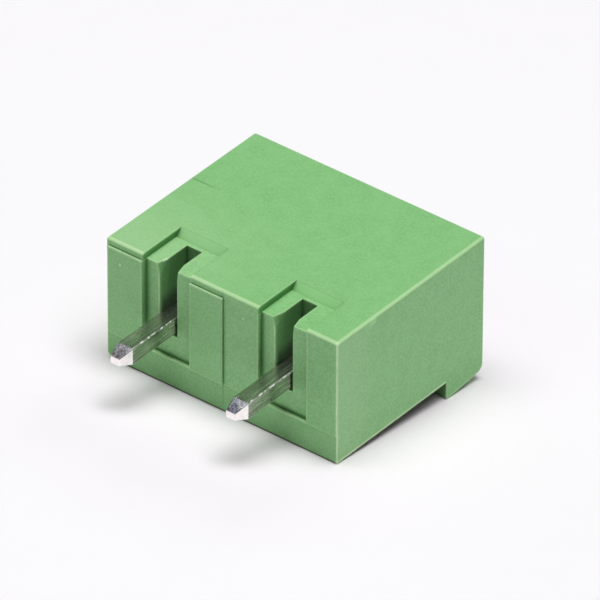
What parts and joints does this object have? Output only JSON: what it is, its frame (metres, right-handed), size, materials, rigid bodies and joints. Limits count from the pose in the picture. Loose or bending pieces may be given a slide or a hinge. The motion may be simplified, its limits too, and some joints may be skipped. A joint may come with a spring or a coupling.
{
  "type": "pluggable pcb terminal block header",
  "caption": "Green board header of a pluggable terminal block: a moulded shroud with a plug cavity and latching lip, and straight square solder pins.",
  "frame": {"origin": "on the board face, midway between the pins and level with their axes", "axes": "+X along the row of pins, +Y from the board face to the mating face, +Z from the latching lip's side to the plain side; the part lies on its lip side as in the picture"},
  "size_m": [0.0153, 0.0162, 0.0087],
  "materials": {
    "housing": "fine satin moulded polyamide, green",
    "pin": "drawn brass wire with dull tin plating"
  },
  "bodies": {
    "root": {"header_housing": "housing", "contact_pin_1": "pin", "contact_pin_2": "pin"}
  },
  "joints": []
}
